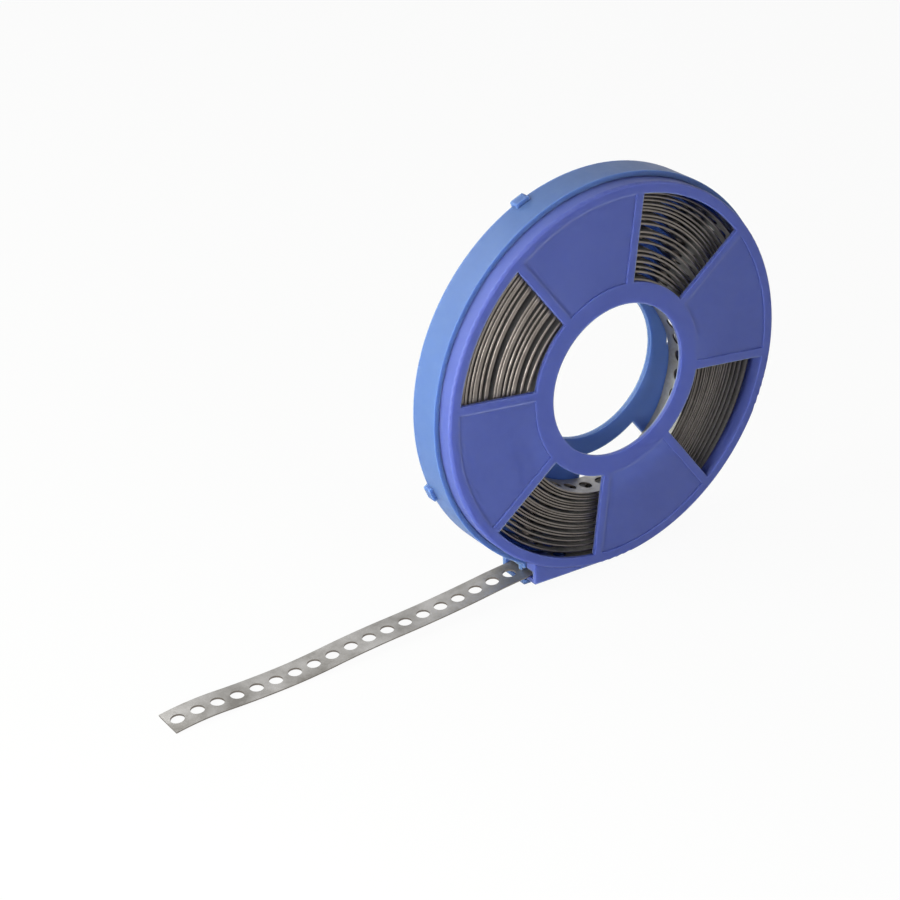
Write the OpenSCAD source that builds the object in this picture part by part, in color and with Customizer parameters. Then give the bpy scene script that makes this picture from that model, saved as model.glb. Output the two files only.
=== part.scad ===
// Perforated steel strap, coiled in a two-part moulded dispenser that stands on its edge.
// The dispenser's axis lies along Y with its front face towards -Y, and the origin is the
// centre of the hub hole. The strap leaves through a spout at the bottom, towards -X.

/* [Strap] */
// Width of the steel strip
strap_width = 12; // [10:0.5:17]
// Thickness of the steel strip
strap_thickness = 0.7; // [0.5:0.05:1]
// Diameter of the round punched holes
hole_diameter = 4.8; // [3:0.1:6]
// Spacing of the holes along the strip
hole_pitch = 7.3; // [6.5:0.05:9]

/* [Tail] */
// Each stretch of the free tail is its length, then the degrees that it turns upwards.
// Stretch that peels off the coil
peel_stretch = [17, 4.75]; // [-20:0.01:60]
// Stretch that passes through the mouth
mouth_stretch = [17, -6.87]; // [-20:0.01:60]
// Stretch bent down outside the mouth
bend_stretch = [17, -3.24]; // [-20:0.01:60]
// Long stretch that levels out
level_stretch = [37, 4.02]; // [-20:0.01:60]
// First wave, downwards
fall_stretch = [26, -4.09]; // [-20:0.01:60]
// Second wave, upwards
rise_stretch = [19.5, 5.25]; // [-20:0.01:60]
// Crest before the cut end
crest_stretch = [21.5, 3.44]; // [-20:0.01:60]
// Last stretch, which drops to the floor
end_stretch = [19.5, -11.22]; // [-20:0.01:60]

/* [Coil] */
// Radius of the bore inside the innermost turn
coil_bore_radius = 36.8; // [30:0.1:45]
// Radial room that one turn takes up, gap included
turn_spacing = 1.48; // [0.8:0.02:2]
// Depth of the grooves between the turns on the coil's ends
turn_groove = 1; // [0.2:0.1:2]
// How far the loose coil sags below the hub's axis
coil_sag = 2; // [0:0.1:4]
// How far the loose coil lies towards the mouth
coil_shift = 1.5; // [0:0.1:3]
// Gap between the coil and the wall that it rests on
coil_clearance = 0.3; // [0.1:0.1:1]
// How far the tail's outer face lies inside the outermost turn where it leaves
tail_bite = 0.1; // [0.05:0.05:0.3]

/* [Dispenser] */
// Outside radius of the front cover
cover_radius = 70; // [60:0.5:80]
// Radius of the hub hole through both halves
hub_radius = 27.8; // [20:0.1:30]
// Thickness of the front cover's face
face_thickness = 1.6; // [1.4:0.1:3]
// Thickness of the drum's back
back_thickness = 2; // [1.4:0.1:3]
// Thickness of the rims and of the spout's plates
wall = 1.9; // [1.2:0.1:2.6]
// Play between each edge of the strap and the faces beside it
side_clearance = 1.5; // [0.3:0.05:1.5]
// Radial play of the cover's rim inside the drum's rim
lap_clearance = 0.2; // [0.1:0.05:0.4]
// Depth of the cover's rim that stays in view
cover_rim = 5.9; // [4:0.1:8]
// Depth of the cover's rim that laps inside the drum
lap = 4.2; // [2:0.1:6]
// Thickness of the ledge that the cover's rim stands on
seat_thickness = 1.2; // [0.8:0.1:2]
// Rounding of the outer edges
edge_round = 0.9; // [0.3:0.1:1.2]

/* [Windows] */
// Radius of the ring round the hub, where windows and panels begin
ring_radius = 35.1; // [29:0.1:40]
// Width of the band along the outer edge
band = 3.9; // [2.5:0.1:6]
// Width of the radial ribs
rib = 3.1; // [2:0.1:5]
// Angle of the first radial rib
rib_angle = 37.5; // [0:0.1:45]
// Depth of the sunk panels
panel_sink = 0.6; // [0.2:0.1:1]

/* [Spout] */
// Rise of the spout's flat underside towards the mouth, in degrees
spout_rise = 2.75; // [0:0.1:8]
// How far the drum's lower lip reaches from the hub's axis
spout_reach = 36.8; // [30:0.1:42]
// How far the cover's plate stops short of the drum's lower lip
plate_setback = 1; // [0:0.1:3]
// Thickness of the spout's floor
spout_floor = 1.6; // [1:0.1:2.4]
// How far the spout's front plate lies behind the cover's face
spout_step = 0.8; // [0.3:0.1:1.5]
// Thickness of the spout's front plate
spout_plate = 1.4; // [1:0.1:1.8]
// How far the spout's underside is let into the drum's rim where it begins
spout_tuck = 0.1; // [0.05:0.05:0.3]
// Gap between the strap and the mouth's upper lip
lip_clearance = 1.7; // [0.8:0.1:3]
// Length of the nib that holds the strap down in the mouth
nib_length = 1.2; // [0.8:0.1:2]
// Width of the nib, across the strap
nib_width = 1.6; // [1:0.1:4]
// How far the nib stands in front of the strap's middle
nib_offset = 0.8; // [0:0.1:3]
// Gap between the nib and the strap
nib_clearance = 0.2; // [0.1:0.05:0.5]

/* [Lugs] */
// Angle of the first lug on the drum's rim
lug_angle = 22.7; // [0:0.1:45]
// Length of a lug along the rim
lug_length = 5.6; // [4:0.1:12]
// Height of a lug
lug_height = 1.5; // [1:0.1:4]
// Depth of a lug, from the back forwards
lug_depth = 3.6; // [2:0.1:8]
// Rounding of a lug's outer corners
lug_round = 0.6; // [0.2:0.1:1]

/* [Hidden] */
$fn = 144;
past = 1;
sector = 45;

drum_radius = cover_radius + lap_clearance + wall;
drum_inside = drum_radius - wall;
rim_inside = cover_radius - wall;
depth = face_thickness + strap_width + 2 * side_clearance + back_thickness;
front_y = -depth / 2;
back_inside = depth - back_thickness;
seat_at = cover_rim + lap;
window_radius = cover_radius - band;
strap_y = front_y + face_thickness + side_clearance + strap_width / 2;

coil_offset = norm([coil_shift, coil_sag]);
coil_radius = rim_inside - coil_clearance - coil_offset;
turns = floor((coil_radius - coil_bore_radius) / turn_spacing);
tail_start = [-coil_shift, tail_bite + strap_thickness / 2 - coil_sag - coil_radius];

stretches = [
    peel_stretch,
    mouth_stretch,
    bend_stretch,
    level_stretch,
    fall_stretch,
    rise_stretch,
    crest_stretch,
    end_stretch
];
tail_length = [for (s = stretches) s[0]] * [for (s = stretches) 1];
tail_holes = 1 + floor((tail_length - peel_stretch[0] - hole_pitch / 2) / hole_pitch);
tail_bends = [for (run = [tail_length : -hole_pitch : 0]) tail_point(run)];

// The spout's underside leaves each half's rim at its own root and runs straight to its lip.
drum_root = spout_root(drum_radius);
cover_root = spout_root(cover_radius);
drum_lip = spout_lip(drum_root, spout_reach);
cover_lip = spout_lip(cover_root, spout_reach - plate_setback);
mouth_run = spout_reach - coil_shift;
strap_top = tail_start[1] + tail_point(mouth_run)[1] + strap_thickness / 2;
mouth_top = strap_top + lip_clearance;

function spout_root(radius) = (radius - spout_tuck) * [-sin(spout_rise), -cos(spout_rise)];

function spout_lip(root, reach) = [-reach, root[1] + (reach + root[0]) * tan(spout_rise)];

// Where a bent stretch ends, from its own start and heading.
function stretch_end(length, turn) =
    turn == 0 ? [length, 0] : length * 180 / PI / turn * [sin(turn), 1 - cos(turn)];

function turned_by(v, angle) =
    [v[0] * cos(angle) - v[1] * sin(angle), v[0] * sin(angle) + v[1] * cos(angle)];

// Place and heading of the strip's middle, a run along the tail from where it leaves the coil.
function tail_point(run, i = 0, place = [0, 0], heading = 0) =
    let (s = stretches[i])
    run > s[0] && i + 1 < len(stretches)
    ? tail_point(run - s[0], i + 1, place + turned_by(stretch_end(s[0], s[1]), heading), heading + s[1])
    : concat(
        place + turned_by(stretch_end(run, s[1] * run / s[0]), heading),
        [heading + s[1] * run / s[0]]
    );

// A point of the strip's skin, to one side of its middle.
function skin_point(p, side) = [p[0] - side * sin(p[2]), p[1] + side * cos(p[2])];

// An outline seen from the front, put at a depth behind the front face.
module at_depth(front, thickness) {
    translate([0, front_y + front + thickness, 0])
        rotate([90, 0, 0])
            linear_extrude(thickness)
                children();
}

// A section of radius and depth, turned round the hub's axis.
module turned() {
    translate([0, front_y, 0])
        rotate([-90, 0, 0])
            rotate_extrude()
                children();
}

module ring(inner, outer) {
    difference() {
        circle(outer);
        circle(inner);
    }
}

// The corner that a rounded edge takes away, for a corner at the origin that points to +X, -Y.
module corner() {
    difference() {
        translate([-edge_round, -past])
            square([edge_round + past, edge_round + past]);
        translate([-edge_round, edge_round])
            circle(edge_round);
    }
}

// One field between two ribs, clear of both by half a rib.
module field(angle) {
    reach = 2 * cover_radius;
    half = sector / 2;
    intersection() {
        ring(ring_radius, window_radius);
        rotate(angle + half)
            translate([rib / 2 / sin(half), 0])
                polygon([[0, 0], reach * [cos(half), -sin(half)], reach * [cos(half), sin(half)]]);
    }
}

// Every second field, from the first rib on.
module fields(first) {
    for (i = [0 : 3])
        field(rib_angle + first * sector + i * 2 * sector);
}

// Outline of the spout below the rim, from its root to its open mouth.
module spout_outline(root, lip) {
    polygon([root, lip, [lip[0], -ring_radius], [root[0], -ring_radius]]);
}

// The way out for the strap: above the floor, below the upper lip, open at the mouth.
module spout_way(root, lip) {
    run = (lip - root) / norm(lip - root);
    up = spout_floor * [run[1], -run[0]];
    inner_end = lip + up + past * run;
    polygon([root + up, inner_end, [inner_end[0], mouth_top], [root[0], mouth_top]]);
}

module drum() {
    color([0.30, 0.34, 0.60]) {
        difference() {
            union() {
                turned() {
                    difference() {
                        translate([hub_radius, back_inside])
                            square([drum_radius - hub_radius, back_thickness]);
                        translate([drum_radius, depth])
                            mirror([0, 1])
                                corner();
                    }
                    translate([drum_inside, cover_rim])
                        square([wall, back_inside - cover_rim]);
                    translate([rim_inside, seat_at])
                        square([wall + lap_clearance, seat_thickness]);
                }
                at_depth(cover_rim, depth - cover_rim)
                    difference() {
                        spout_outline(drum_root, drum_lip);
                        circle(drum_inside);
                    }
                at_depth(depth - lug_depth, lug_depth)
                    lugs();
            }
            at_depth(cover_rim - past, back_inside - cover_rim + past)
                spout_way(drum_root, drum_lip);
            at_depth(back_inside - past, back_thickness + 2 * past)
                fields(1);
            at_depth(depth - panel_sink, panel_sink + past)
                fields(0);
        }
        nib();
    }
}

// Small post under the mouth's upper lip, which keeps the strap from springing up.
module nib() {
    height = lip_clearance - nib_clearance;
    translate([drum_lip[0], strap_y - nib_offset - nib_width / 2, mouth_top - height])
        cube([nib_length, nib_width, height + nib_length]);
}

// Four short blocks on the rim, a quarter turn apart.
module lugs() {
    height = wall / 2 + lug_height;
    for (i = [0 : 3])
        rotate(lug_angle + 90 * i)
            translate([drum_radius - wall / 2, 0]) {
                translate([0, -lug_length / 2])
                    square([height - lug_round, lug_length]);
                translate([0, lug_round - lug_length / 2])
                    square([height, lug_length - 2 * lug_round]);
                for (side = [-1, 1])
                    translate([height - lug_round, side * (lug_length / 2 - lug_round)])
                        circle(lug_round, $fn = 48);
            }
}

module front_cover() {
    color([0.33, 0.36, 0.62])
    difference() {
        union() {
            turned()
                difference() {
                    union() {
                        translate([hub_radius, 0])
                            square([cover_radius - hub_radius, face_thickness]);
                        translate([rim_inside, 0])
                            square([wall, seat_at]);
                    }
                    translate([cover_radius, 0])
                        corner();
                }
            at_depth(spout_step, cover_rim - spout_step)
                difference() {
                    spout_outline(cover_root, cover_lip);
                    circle(rim_inside);
                }
        }
        at_depth(spout_step + spout_plate, seat_at + past)
            spout_way(cover_root, cover_lip);
        at_depth(-past, face_thickness + 2 * past)
            fields(0);
        at_depth(-past, panel_sink + past)
            fields(1);
    }
}

// Section of the coil: one land for each turn, with a groove between each two.
module coil_section() {
    half = strap_width / 2;
    inner = coil_radius - turns * turn_spacing;
    gap = turn_spacing - strap_thickness;
    difference() {
        translate([coil_bore_radius, -half])
            square([coil_radius - coil_bore_radius, strap_width]);
        for (i = [1 : turns - 2], side = [0, 1])
            mirror([0, side])
                translate([inner + i * turn_spacing, half - turn_groove])
                    square([gap, turn_groove + past]);
    }
}

// The strip seen along the hub's axis: flat at each hole, bent between the holes.
module tail_outline() {
    half = strap_thickness / 2;
    polygon(concat(
        [for (p = tail_bends) skin_point(p, half)],
        [for (i = [len(tail_bends) - 1 : -1 : 0]) skin_point(tail_bends[i], -half)]
    ));
}

// Moves to the middle of the flat that holds a hole, counted from the cut end.
module at_hole(i) {
    outer = tail_bends[i];
    inner = tail_bends[i + 1];
    translate([outer[0] + inner[0], outer[1] + inner[1], 0] / 2)
        rotate(atan2(outer[1] - inner[1], outer[0] - inner[0]))
            children();
}

module on_tail() {
    translate([tail_start[0], strap_y, tail_start[1]])
        rotate([90, 0, 180])
            children();
}

module strap() {
    color([0.62, 0.61, 0.60])
    difference() {
        union() {
            translate([-coil_shift, strap_y, -coil_sag])
                rotate([90, 0, 0])
                    rotate_extrude()
                        coil_section();
            on_tail()
                linear_extrude(strap_width, center = true)
                    tail_outline();
        }
        on_tail()
            for (i = [0 : tail_holes - 1])
                at_hole(i)
                    rotate([90, 0, 0])
                        cylinder(h = 3 * strap_thickness, d = hole_diameter, center = true, $fn = 48);
    }
}

drum();
front_cover();
strap();
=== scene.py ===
import math

import bpy
import numpy as np
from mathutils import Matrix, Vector


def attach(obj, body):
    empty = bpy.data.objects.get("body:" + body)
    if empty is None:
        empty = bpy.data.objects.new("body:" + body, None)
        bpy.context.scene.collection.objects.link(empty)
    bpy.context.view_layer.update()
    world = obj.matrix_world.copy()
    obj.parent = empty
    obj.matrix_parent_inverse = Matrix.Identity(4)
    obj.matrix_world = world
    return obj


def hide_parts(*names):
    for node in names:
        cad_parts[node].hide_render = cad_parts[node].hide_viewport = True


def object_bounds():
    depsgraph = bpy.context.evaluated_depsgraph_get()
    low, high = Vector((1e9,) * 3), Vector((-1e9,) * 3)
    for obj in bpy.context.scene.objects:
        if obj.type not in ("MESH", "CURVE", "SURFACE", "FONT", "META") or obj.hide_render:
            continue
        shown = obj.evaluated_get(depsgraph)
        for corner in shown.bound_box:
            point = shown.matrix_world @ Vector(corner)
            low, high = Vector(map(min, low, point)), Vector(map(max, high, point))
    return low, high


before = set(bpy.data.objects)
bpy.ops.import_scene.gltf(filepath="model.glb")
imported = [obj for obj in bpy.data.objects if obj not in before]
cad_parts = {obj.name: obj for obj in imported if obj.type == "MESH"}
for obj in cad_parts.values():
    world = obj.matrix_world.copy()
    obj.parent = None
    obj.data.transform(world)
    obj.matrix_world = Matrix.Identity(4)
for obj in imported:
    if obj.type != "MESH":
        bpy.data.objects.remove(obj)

solid_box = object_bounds()

# Drum, the rear half of the dispenser: a shallow round pan with a back disc, four windows, a rim,
# a spout and four lugs. It is injection moulded in one piece from blue polypropylene, and the
# front cover's rim laps inside its own.
# One millimetre in metres.
MM = 0.001
DRUM_BLUE = "#435c90"
DRUM_BLUE_WORN = "#4c6598"
# Breadth of the faint marks that the plastic leaves as it flows into the mould, and of its scuffs.
FLOW_MARK_MM = 26.0
SCUFF_MM = 6.0
# Real spark-eroded mould grain is about 0.1 mm, so it is drawn ten times as coarse to show.
MOULD_GRAIN_MM = 1.0
MOULD_GRAIN_DEPTH_MM = 0.1
# How far light wanders inside the plastic before it comes out again.
LIGHT_IN_PLASTIC_MM = 6.0


def linear(colour):
    """An sRGB hex colour as linear red, green, blue and alpha."""
    parts = [int(colour[i:i + 2], 16) / 255 for i in (1, 3, 5)]
    return [p / 12.92 if p <= 0.04045 else ((p + 0.055) / 1.055) ** 2.4 for p in parts] + [1.0]


def node(holder, kind, values=None, links=None, **settings):
    """Adds one node with its settings, its input values and the links into it."""
    tree = holder.node_tree
    made = tree.nodes.new("ShaderNode" + kind)
    for name, value in settings.items():
        setattr(made, name, value)
    for name, value in (values or {}).items():
        made.inputs[name].default_value = value
    for name, source in (links or {}).items():
        tree.links.new(source, made.inputs[name])
    return made


def empty_material(name):
    """A new material with no nodes in it yet."""
    made = bpy.data.materials.new(name)
    made.use_nodes = True
    made.node_tree.nodes.clear()
    return made


def moulded_polypropylene(name, blue, worn):
    """Satin moulded polypropylene: an even colour with faint flow marks, a soft wide highlight that
    breaks up a little, a fine grain from the mould, and a glow where light enters the thin walls."""
    made = empty_material(name)
    place = node(made, "TexCoord").outputs["Object"]
    flow = node(
        made, "TexNoise", {"Scale": 1 / (FLOW_MARK_MM * MM), "Detail": 3.0}, {"Vector": place},
    )
    scuff = node(
        made, "TexNoise", {"Scale": 1 / (SCUFF_MM * MM), "Detail": 6.0, "Roughness": 0.7},
        {"Vector": place},
    )
    grain = node(
        made, "TexNoise", {"Scale": 1 / (MOULD_GRAIN_MM * MM), "Detail": 2.0}, {"Vector": place},
    )
    colour = node(
        made, "Mix", {"A": linear(blue), "B": linear(worn)}, {"Factor": flow.outputs["Fac"]},
        data_type="RGBA",
    )
    gloss = node(
        made, "MapRange", {"From Min": 0.3, "From Max": 0.7, "To Min": 0.46, "To Max": 0.58},
        {"Value": scuff.outputs["Fac"]},
    )
    bump = node(
        made, "Bump", {"Strength": 0.06, "Distance": MOULD_GRAIN_DEPTH_MM * MM},
        {"Height": grain.outputs["Fac"]},
    )
    shader = node(
        made, "BsdfPrincipled",
        {
            "IOR": 1.49,
            "Metallic": 0.0,
            "Specular IOR Level": 0.3,
            "Subsurface Weight": 1.0,
            "Subsurface Scale": LIGHT_IN_PLASTIC_MM * MM,
            "Subsurface Radius": (0.7, 0.8, 1.0),
        },
        {
            "Base Color": colour.outputs["Result"],
            "Roughness": gloss.outputs["Result"],
            "Normal": bump.outputs["Normal"],
        },
    )
    node(made, "OutputMaterial", links={"Surface": shader.outputs["BSDF"]})
    return made


def dress_moulding(piece, plastic):
    """Gives a moulded half its plastic."""
    for holder in piece.material_slots:
        holder.material = plastic


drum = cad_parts["drum"]
dress_moulding(
    drum, moulded_polypropylene("blue_polypropylene_moulded_drum", DRUM_BLUE, DRUM_BLUE_WORN)
)

# Front cover, the front half of the dispenser: a flat ring with four windows and four sunk panels,
# a rim and the spout's front plate. It is moulded from blue polypropylene as the drum is, and its
# rim laps inside the drum's and stands on a ledge there.
COVER_BLUE = "#445092"
COVER_BLUE_WORN = "#4c589a"

front_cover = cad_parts["front_cover"]
dress_moulding(
    front_cover, moulded_polypropylene("blue_polypropylene_moulded_cover", COVER_BLUE, COVER_BLUE_WORN)
)

# Strap: one length of zinc-coated steel strip with a row of round holes punched down its middle,
# slit to width so that its edges are bare. It lies in the drum as a loose coil of nineteen uneven
# turns, and its outer end runs out of the spout to a cut end on the floor. Lengths are in millimetres.
STRAP_WIDTH = 12.0
STRAP_THICKNESS = 0.7
# Slitting rolls the long edges over on the coil's outer side and leaves them sharp on its inner side.
ROLL_OVER = 0.4
HOLE_RADIUS = 2.4
HOLE_PITCH = 7.3
# The cover is thinner than the drum's back, so the middle of the space between them is a little forward.
STRAP_MIDDLE_Y = -0.2
# The innermost turn hangs well below the hub's axis: angle in degrees and radius, from its free end.
INNERMOST_TURN = [
    (195, 33.4), (150, 32.4), (105, 30.4), (60, 30.4), (20, 32.2), (0, 35.0),
    (-14, 36.9), (-28, 38.4), (-40, 40.2), (-55, 41.7), (-90, 43.0), (-120, 42.6),
]
# Radii of the other turns, from the inside out, at six places round the coil, by angle in degrees.
# It is loose at the top and left and packed at the right, where only the outer turns stand apart.
TURNS = {
    150: [
        35.9, 38.9, 42.2, 43.0, 44.8, 46.8, 49.0, 49.9, 51.0,
        54.3, 55.1, 57.3, 59.3, 60.1, 61.5, 63.4, 64.4, 65.6,
    ],
    75: [
        35.1, 37.8, 39.5, 41.3, 43.6, 45.0, 48.0, 50.1, 51.6,
        54.4, 56.1, 57.2, 59.0, 60.0, 61.1, 62.6, 63.8, 65.0,
    ],
    45: [
        35.3, 37.3, 38.6, 40.3, 42.2, 43.5, 46.1, 48.2, 49.7,
        52.0, 53.8, 54.7, 56.2, 57.5, 59.0, 60.8, 62.9, 65.2,
    ],
    -30: [
        40.4, 41.3, 42.4, 43.5, 44.4, 45.6, 46.5, 47.6, 48.5,
        49.5, 50.5, 51.6, 52.9, 54.4, 56.2, 58.4, 61.0, 63.8,
    ],
    -85: [
        44.3, 45.2, 46.7, 47.7, 48.6, 49.6, 51.1, 52.1, 53.1,
        54.0, 55.6, 56.6, 58.4, 59.6, 61.2, 63.2, 65.4,
    ],
    -120: [
        43.6, 44.5, 46.1, 47.0, 47.9, 48.8, 50.5, 51.3, 52.3,
        53.2, 54.8, 55.7, 57.5, 58.5, 60.3, 62.3, 64.6,
    ],
}
COIL_POINTS = 14000
# The coil lies askew, 1 mm nearer the front for every so many millimetres towards the left.
LEAN_RUN = 60.0
# Its turns also wander forwards and back: how far, over what run of strip, and where the wave starts.
WANDERS = [(0.2, 61.0, 0.0), (0.1, 143.0, 1.3)]
# The last of the strip is in line with the spout, and the coil comes into line over a run before it.
STRAIGHT_RUN = 170.0
COMING_INTO_LINE = 60.0
# Where the outermost turn becomes the tail, and how the tail then bends: length, degrees upwards.
TAIL_START = (-1.5, -66.85)
TAIL_STRETCHES = [
    (17, 4.75), (17, -6.87), (17, -3.24), (37, 4.02),
    (26, -4.09), (19.5, 5.25), (21.5, 3.44), (19.5, -11.22),
]
TAIL_STEP = 0.25
# Parts that the mesh has along a hole's length of edge, across the strip and round a rolled edge.
EDGE_PARTS = 4
WIDTH_PARTS = 8
ROLL_PARTS = 4


def smooth_through(knots, values, at, end_slope):
    """A smooth curve through the values at the knots, with a set slope at its end."""
    slopes = np.gradient(values, knots)
    slopes[-1] = end_slope
    i = np.clip(np.searchsorted(knots, at) - 1, 0, len(knots) - 2)
    span = knots[i + 1] - knots[i]
    t = (at - knots[i]) / span
    return (
        (2 * t**3 - 3 * t**2 + 1) * values[i]
        + (t**3 - 2 * t**2 + t) * span * slopes[i]
        + (3 * t**2 - 2 * t**3) * values[i + 1]
        + (t**3 - t**2) * span * slopes[i + 1]
    )


def coil_path():
    """The coiled part of the strap's middle line, from its inner end to where the tail begins."""
    inner_angle = INNERMOST_TURN[0][0]
    knots = [(inner_angle - angle) / 360 for angle, _ in INNERMOST_TURN]
    radii = [radius for _, radius in INNERMOST_TURN]
    turns = max(len(row) for row in TURNS.values())
    for turn in range(turns):
        for angle, row in TURNS.items():
            if turn < len(row):
                knots.append(turn + 1 + (inner_angle - angle) / 360)
                radii.append(row[turn])
    end_radius = math.hypot(*TAIL_START)
    end_angle = math.degrees(math.atan2(TAIL_START[1], TAIL_START[0]))
    knots.append(turns + (inner_angle - end_angle) / 360)
    radii.append(end_radius)
    # The tail starts level, so the last of the coil leaves the circle by this slope per turn.
    end_slope = 2 * math.pi * end_radius * math.tan(math.radians(-90 - end_angle))
    turn = np.linspace(0, knots[-1], COIL_POINTS)
    radius = smooth_through(np.array(knots), np.array(radii), turn, end_slope)
    angle = np.radians(inner_angle - 360 * turn)
    return np.column_stack([radius * np.cos(angle), radius * np.sin(angle)])


def tail_path():
    """The free tail's middle line, as bent stretches one after the other."""
    x, z = TAIL_START
    heading = 0.0
    points = []
    for length, bend in TAIL_STRETCHES:
        count = round(length / TAIL_STEP)
        half_bend = math.radians(bend) / count / 2
        for _ in range(count):
            heading += half_bend
            x -= length / count * math.cos(heading)
            z += length / count * math.sin(heading)
            heading += half_bend
            points.append((x, z))
    return np.array(points)


def quads_between(a, b):
    """Quads between two matching rows of points."""
    return np.stack([a[..., :-1], a[..., 1:], b[..., 1:], b[..., :-1]], axis=-1).reshape(-1, 4)


def closed(rows):
    """Rows of points that each come back to their first point."""
    return np.hstack([rows, rows[:, :1]])


def flat_strip(length):
    """The punched strip laid flat, as one closed skin with its edges rolled over on the upper side.
    Gives its points as run along it, place across it and height in it, then the quads of its
    faces, the quads of its cut edges, its two ends, and the points of its borders and hole rims."""
    cells = int(length // HOLE_PITCH)
    start = length - cells * HOLE_PITCH
    half_thickness = STRAP_THICKNESS / 2
    lower_reach = STRAP_WIDTH / 2
    upper_reach = lower_reach - ROLL_OVER
    seam_at = start + HOLE_PITCH * np.arange(cells + 1)
    edge_at = start + HOLE_PITCH / EDGE_PARTS * np.arange(EDGE_PARTS * cells + 1)
    blocks = []

    def add_points(along, across, height):
        """Adds a block of points and returns their numbers in the block's shape."""
        along, across, height = np.broadcast_arrays(along, across, height)
        first = sum(b.shape[1] for b in blocks)
        blocks.append(np.array([along.ravel(), across.ravel(), height.ravel()]))
        return np.arange(first, first + along.size).reshape(along.shape)

    # A hole has as many points as the outline of its cell, and both start at the corner at this angle.
    around = 2 * (EDGE_PARTS + WIDTH_PARTS)
    first_corner = -60
    ring = np.radians(first_corner + 360 / around * np.arange(around))
    layers = []
    for height, reach in ((half_thickness, upper_reach), (-half_thickness, lower_reach)):
        near = add_points(edge_at, -reach, height)
        far = add_points(edge_at, reach, height)
        inside = np.linspace(-reach, reach, WIDTH_PARTS + 1)[1:-1]
        seam = add_points(seam_at[:, None], inside[None, :], height)
        hole_at = seam_at[:-1, None] + HOLE_PITCH / 2
        rim = add_points(hole_at + HOLE_RADIUS * np.cos(ring), HOLE_RADIUS * np.sin(ring), height)
        layers.append((near, far, seam, rim))
    roll_angles = [math.pi / 2 * i / ROLL_PARTS for i in range(1, ROLL_PARTS)]
    rolled = [(ROLL_OVER * math.sin(a), STRAP_THICKNESS * math.cos(a)) for a in roll_angles]
    near_roll, far_roll = (
        [add_points(edge_at, side * (upper_reach + out), up - half_thickness) for out, up in rolled]
        for side in (-1, 1)
    )

    outlines = []
    first = EDGE_PARTS * np.arange(cells)
    for near, far, seam, _ in layers:
        outlines.append(np.column_stack(
            [near[first + EDGE_PARTS], seam[1:]]
            + [far[first + i] for i in range(EDGE_PARTS, -1, -1)]
            + [seam[:-1, ::-1]]
            + [near[first + i] for i in range(EDGE_PARTS)]
        ))
    upper_rim, lower_rim = (closed(layer[3]) for layer in layers)
    faces = np.vstack([
        quads_between(closed(outlines[0]), upper_rim),
        quads_between(lower_rim, closed(outlines[1])),
    ])
    near_rows = [layers[0][0], *near_roll, layers[1][0]]
    far_rows = [layers[0][1], *far_roll, layers[1][1]]
    cut = np.vstack(
        [quads_between(upper_rim, lower_rim)]
        + [quads_between(lower, upper) for upper, lower in zip(near_rows, near_rows[1:])]
        + [quads_between(upper, lower) for upper, lower in zip(far_rows, far_rows[1:])]
    )
    ends = []
    for at, turned in ((0, -1), (-1, 1)):
        upper, lower = ([near[at], *seam[at], far[at]] for near, far, seam, _ in layers)
        far_side = [row[at] for row in far_roll[::-1]]
        near_side = [row[at] for row in near_roll]
        loop = lower + far_side + upper[::-1] + near_side
        ends.append([int(i) for i in loop[::turned]])
    borders = np.concatenate([row for layer in layers for row in layer[:2]])
    rims = np.concatenate([layer[3].ravel() for layer in layers])
    return np.hstack(blocks), faces, cut, ends, borders, rims


def strap_mesh():
    """The whole strip laid along its path: the coil, a little askew, and the tail."""
    path = np.vstack([coil_path(), tail_path()])
    run = np.concatenate([[0], np.cumsum(np.linalg.norm(np.diff(path, axis=0), axis=1))])
    (along, across, height), faces, cut, ends, borders, rims = flat_strip(run[-1])

    # The points go to their places, square to the path, with the coil askew and its turns wandering.
    tangent = np.gradient(path, run, axis=0)
    tangent /= np.linalg.norm(tangent, axis=1)[:, None]
    x, z = (np.interp(along, run, path[:, i]) for i in (0, 1))
    way_x, way_z = (np.interp(along, run, tangent[:, i]) for i in (0, 1))
    in_coil = np.clip((run[-1] - STRAIGHT_RUN - along) / COMING_INTO_LINE, 0, 1)
    wander = sum(far * np.sin(along / wave + first) for far, wave, first in WANDERS)
    shift = in_coil * (x / LEAN_RUN + wander)
    points = np.column_stack([x - height * way_z, STRAP_MIDDLE_Y + across + shift, z + height * way_x])

    made = bpy.data.meshes.new("strap")
    quads = np.vstack([faces, cut]).tolist() + ends
    made.from_pydata((points * MM).tolist(), [], quads)
    made.polygons.foreach_set("material_index", [0] * len(faces) + [1] * (len(quads) - len(faces)))
    uv_layer = made.uv_layers.new(name="along_and_across")
    corner = np.empty(len(made.loops), dtype=np.int32)
    made.loops.foreach_get("vertex_index", corner)
    from_tail_end = np.column_stack([run[-1] - along, across]) * MM
    uv_layer.data.foreach_set("uv", from_tail_end[corner].astype(np.float32).ravel())
    made.shade_smooth()

    # The flat faces stay flat: their borders, the hole rims and the cut ends are sharp.
    pair = np.empty(2 * len(made.edges), dtype=np.int32)
    made.edges.foreach_get("vertices", pair)
    a, b = pair.reshape(-1, 2).T
    on_border = np.zeros(len(along), dtype=bool)
    on_border[borders] = True
    on_rim = np.zeros(len(along), dtype=bool)
    on_rim[rims] = True
    at_end = np.isclose(along, along.min()) | np.isclose(along, along.max())
    level = np.isclose(height[a], height[b])
    sharp = level & ((on_border[a] & on_border[b]) | (on_rim[a] & on_rim[b])) | (at_end[a] & at_end[b])
    made.edges.foreach_set("use_edge_sharp", sharp)
    made.validate()
    return made


ZINC = "#b3b1af"
ZINC_DULL = "#7a7774"
ZINC_CLOUD_MM = 16.0
# Rolling lines on the strip are about 0.05 mm apart, so they are drawn at 0.4 mm to show.
ROLLING_LINE_MM = 0.4
ROLLING_LINE_DEPTH_MM = 0.02

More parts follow.
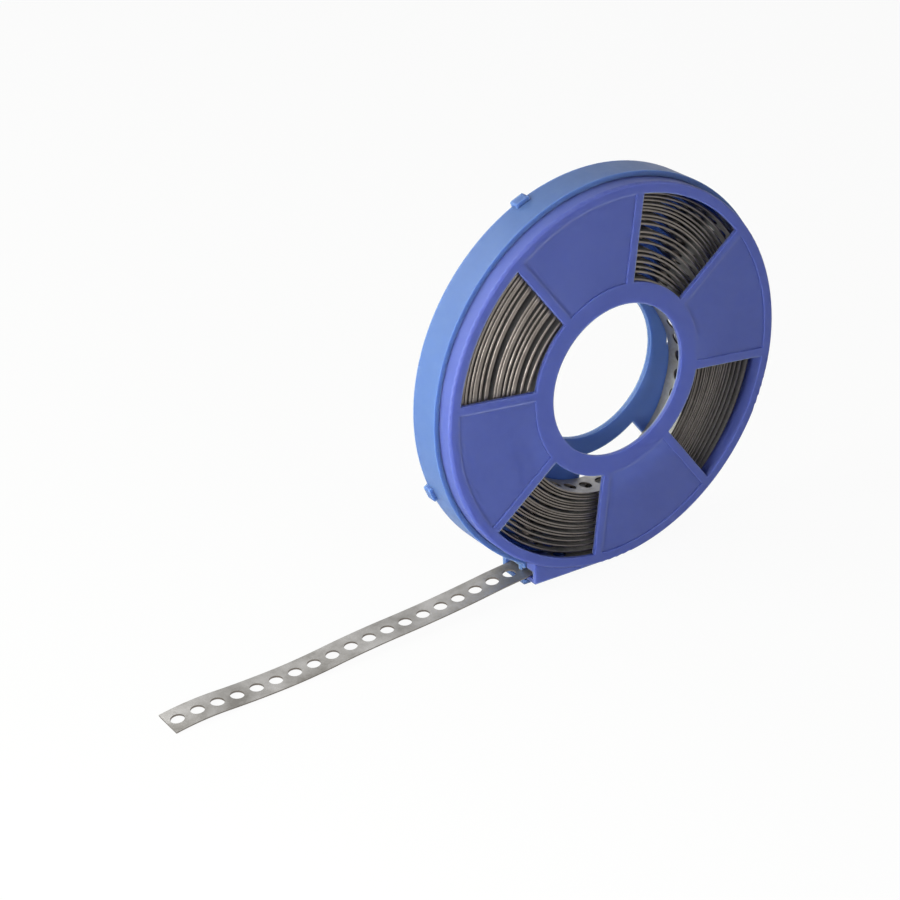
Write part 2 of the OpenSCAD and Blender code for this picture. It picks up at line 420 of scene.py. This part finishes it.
# Cold-rolled strip with a bright zinc coat: a soft mirror, drawn out along the strip by fine
# rolling lines, with duller clouds where the zinc has begun to oxidise.
zinc_strip = empty_material("zinc_coated_steel_rolled")
strip_place = node(zinc_strip, "UVMap", uv_map="along_and_across").outputs["UV"]
streaked = node(zinc_strip, "Mapping", {"Scale": (0.05, 1.0, 1.0)}, {"Vector": strip_place})
lines = node(
    zinc_strip, "TexNoise", {"Scale": 1 / (ROLLING_LINE_MM * MM), "Detail": 3.0},
    {"Vector": streaked.outputs["Vector"]},
)
clouds = node(
    zinc_strip, "TexNoise", {"Scale": 1 / (ZINC_CLOUD_MM * MM), "Detail": 5.0, "Roughness": 0.65},
    {"Vector": strip_place},
)
dulled = node(
    zinc_strip, "MapRange", {"From Min": 0.34, "From Max": 0.66}, {"Value": clouds.outputs["Fac"]},
)
zinc_colour = node(
    zinc_strip, "Mix", {"A": linear(ZINC), "B": linear(ZINC_DULL)},
    {"Factor": dulled.outputs["Result"]}, data_type="RGBA",
)
zinc_gloss = node(
    zinc_strip, "MapRange", {"To Min": 0.4, "To Max": 0.6}, {"Value": dulled.outputs["Result"]},
)
zinc_bump = node(
    zinc_strip, "Bump", {"Strength": 0.12, "Distance": ROLLING_LINE_DEPTH_MM * MM},
    {"Height": lines.outputs["Fac"]},
)
zinc_shader = node(
    zinc_strip, "BsdfPrincipled", {"Metallic": 1.0},
    {
        "Base Color": zinc_colour.outputs["Result"],
        "Roughness": zinc_gloss.outputs["Result"],
        "Normal": zinc_bump.outputs["Normal"],
    },
)
node(zinc_strip, "OutputMaterial", links={"Surface": zinc_shader.outputs["BSDF"]})

BARE_EDGE = "#8d8680"
BARE_EDGE_DARK = "#4f4943"
TEAR_MM = 4.0

# Slit and punched edges: bare steel, half burnished and half torn, so browner and darker than the
# zinc, with short bright and dull stretches.
bare_edge = empty_material("bare_steel_sheared")
edge_place = node(bare_edge, "UVMap", uv_map="along_and_across").outputs["UV"]
torn = node(
    bare_edge, "TexNoise", {"Scale": 1 / (TEAR_MM * MM), "Detail": 4.0, "Roughness": 0.6},
    {"Vector": edge_place},
)
edge_colour = node(
    bare_edge, "Mix", {"A": linear(BARE_EDGE), "B": linear(BARE_EDGE_DARK)},
    {"Factor": torn.outputs["Fac"]}, data_type="RGBA",
)
edge_gloss = node(
    bare_edge, "MapRange", {"From Min": 0.3, "From Max": 0.7, "To Min": 0.3, "To Max": 0.5},
    {"Value": torn.outputs["Fac"]},
)
edge_shader = node(
    bare_edge, "BsdfPrincipled", {"Metallic": 1.0},
    {"Base Color": edge_colour.outputs["Result"], "Roughness": edge_gloss.outputs["Result"]},
)
node(bare_edge, "OutputMaterial", links={"Surface": edge_shader.outputs["BSDF"]})

strap = bpy.data.objects.new("perforated_strap", strap_mesh())
bpy.context.scene.collection.objects.link(strap)
strap.data.materials.append(zinc_strip)
strap.data.materials.append(bare_edge)
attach(strap, "root")
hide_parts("strap")

# Stage: a plain pale floor of paper, level with the drum's lowest point, in front of a white surround.
# The camera stands where the photograph was taken, and the light is soft, mostly from the left.
# Lengths are in metres.
PAPER_GREY = "#bcbcbc"
# How much of what is seen of the paper is plain white. The rest is its own shade, with the shadow in it.
PAPER_WHITENESS = 0.94
PAPER_REACH = 4.0
PAPER_GAP = 0.00002
AMBIENT_STRENGTH = 0.25
WHITE = "#ffffff"
LEFT_LAMP_TINT = "#f8ffea"


def seen_share(holder):
    """One for rays that show a thing, straight, mirrored or through glass, and nought for light alone."""
    path = node(holder, "LightPath")
    mirrored = node(
        holder, "Math", links={0: path.outputs["Is Glossy Ray"], 1: path.outputs["Is Transmission Ray"]},
        operation="ADD",
    )
    seen = node(
        holder, "Math", links={0: path.outputs["Is Camera Ray"], 1: mirrored.outputs["Value"]},
        operation="ADD",
    )
    return seen.outputs["Value"]


# Matt seamless paper: an even ground with no shine, nearly white to the eye, under a faint soft shadow.
paper = empty_material("seamless_paper_matt")
whitened = node(paper, "Math", {1: PAPER_WHITENESS}, {0: seen_share(paper)}, operation="MULTIPLY")
paper_shade = node(paper, "BsdfDiffuse", {"Color": linear(PAPER_GREY)})
paper_white = node(paper, "Emission", {"Color": linear(WHITE), "Strength": 1.0})
paper_mix = node(
    paper, "MixShader",
    links={
        0: whitened.outputs["Value"],
        1: paper_shade.outputs["BSDF"],
        2: paper_white.outputs["Emission"],
    },
)
node(paper, "OutputMaterial", links={"Surface": paper_mix.outputs["Shader"]})

floor_height = solid_box[0][2] - PAPER_GAP
floor_corners = [
    (side_x * PAPER_REACH, side_y * PAPER_REACH, floor_height)
    for side_x, side_y in ((-1, -1), (1, -1), (1, 1), (-1, 1))
]
floor_mesh = bpy.data.meshes.new("floor")
floor_mesh.from_pydata(floor_corners, [], [(0, 1, 2, 3)])
floor_mesh.materials.append(paper)
floor = bpy.data.objects.new("floor", floor_mesh)
bpy.context.scene.collection.objects.link(floor)

surround = bpy.data.worlds.new("white_surround")
bpy.context.scene.world = surround
surround.use_nodes = True
surround.node_tree.nodes.clear()
ambient = node(surround, "Background", {"Color": linear(WHITE), "Strength": AMBIENT_STRENGTH})
backdrop = node(surround, "Background", {"Color": linear(WHITE), "Strength": 1.0})
sky = node(
    surround, "MixShader",
    links={0: seen_share(surround), 1: ambient.outputs["Background"], 2: backdrop.outputs["Background"]},
)
node(surround, "OutputWorld", links={"Surface": sky.outputs["Shader"]})


def soft_lamp(name, place, size, watts, tint):
    """A square soft lamp at a place, turned towards the hub and hidden from the camera."""
    lamp = bpy.data.lights.new(name, "AREA")
    lamp.shape = "SQUARE"
    lamp.size = size
    lamp.energy = watts
    lamp.color = linear(tint)[:3]
    made = bpy.data.objects.new(name, lamp)
    bpy.context.scene.collection.objects.link(made)
    made.location = place
    made.rotation_euler = Vector(place).to_track_quat("Z", "Y").to_euler()
    made.visible_camera = False


soft_lamp("left_softbox", (-0.85, 0.2, 0.42), 0.6, 11.5, LEFT_LAMP_TINT)
soft_lamp("near_left_softbox", (-0.39, -0.225, 0.09), 0.24, 2.1, WHITE)
soft_lamp("front_softbox", (0.0, -0.8, 0.5), 0.25, 2.0, WHITE)
soft_lamp("camera_softbox", (-0.616, -0.77, 0.484), 0.2, 0.8, WHITE)
soft_lamp("back_softbox", (-0.3, 0.9, 0.5), 0.5, 3.0, WHITE)

# The camera was fitted to the dispenser's circles in the photograph: its place, and its turn in degrees.
CAMERA_PLACE = (-0.41344, -0.52006, 0.32496)
CAMERA_TURN = (61.890, 1.724, -34.835)
LENS_MM = 86.0
SENSOR_MM = 36.0

camera = bpy.data.objects.new("camera", bpy.data.cameras.new("camera"))
bpy.context.scene.collection.objects.link(camera)
bpy.context.scene.camera = camera
camera.location = CAMERA_PLACE
camera.rotation_euler = [math.radians(angle) for angle in CAMERA_TURN]
camera.data.lens = LENS_MM
camera.data.sensor_width = SENSOR_MM
bpy.context.scene.view_settings.view_transform = "Standard"
